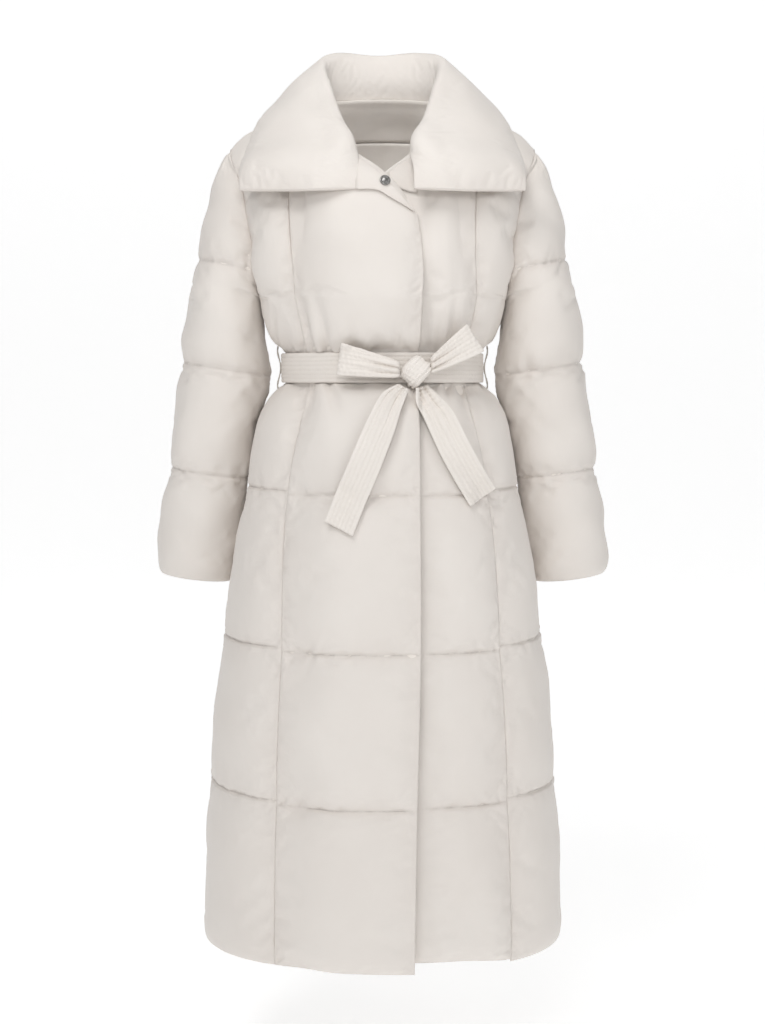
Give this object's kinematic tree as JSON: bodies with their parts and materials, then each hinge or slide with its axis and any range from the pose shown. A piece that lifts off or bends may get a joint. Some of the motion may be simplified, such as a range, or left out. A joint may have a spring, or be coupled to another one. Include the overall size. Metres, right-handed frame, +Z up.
{
  "type": "long puffer coat",
  "caption": "Long quilted puffer coat with a wide turned-down collar, overlapping front, full sleeves and a tie belt knotted in a bow, filled out as worn and hollow.",
  "frame": {"origin": "between the tops of the shoulders, level with the sides of the neck, where the coat rests on its wearer", "axes": "+Z up, -Y towards the front, +X towards the wearer's left"},
  "size_m": [0.6214, 0.407, 1.2055],
  "materials": {
    "shell_fabric": "matt down-proof plain weave",
    "lining_fabric": "soft satin lining",
    "belt_fabric": "matt plain weave, row-stitched",
    "thread": "twisted thread",
    "snap_metal": "dark plated metal"
  },
  "bodies": {
    "root": {"front_right_centre": "shell_fabric", "front_right_side": "shell_fabric", "front_left_centre": "shell_fabric", "front_left_side": "shell_fabric", "back_centre": "shell_fabric", "back_right_side": "shell_fabric", "back_left_side": "shell_fabric", "sleeve_right": "shell_fabric", "sleeve_left": "shell_fabric", "collar": "shell_fabric", "front_facing_right": "shell_fabric", "front_facing_left": "shell_fabric", "back_neck_facing": "lining_fabric", "back_lining": "lining_fabric", "belt_band": "belt_fabric", "belt_knot": "belt_fabric", "bow_loop_right": "belt_fabric", "bow_loop_left": "belt_fabric", "belt_tail_right": "belt_fabric", "belt_tail_left": "belt_fabric", "belt_carrier_right": "thread", "belt_carrier_left": "thread", "collar_snap": "snap_metal", "placket_snap": "snap_metal"}
  },
  "joints": []
}
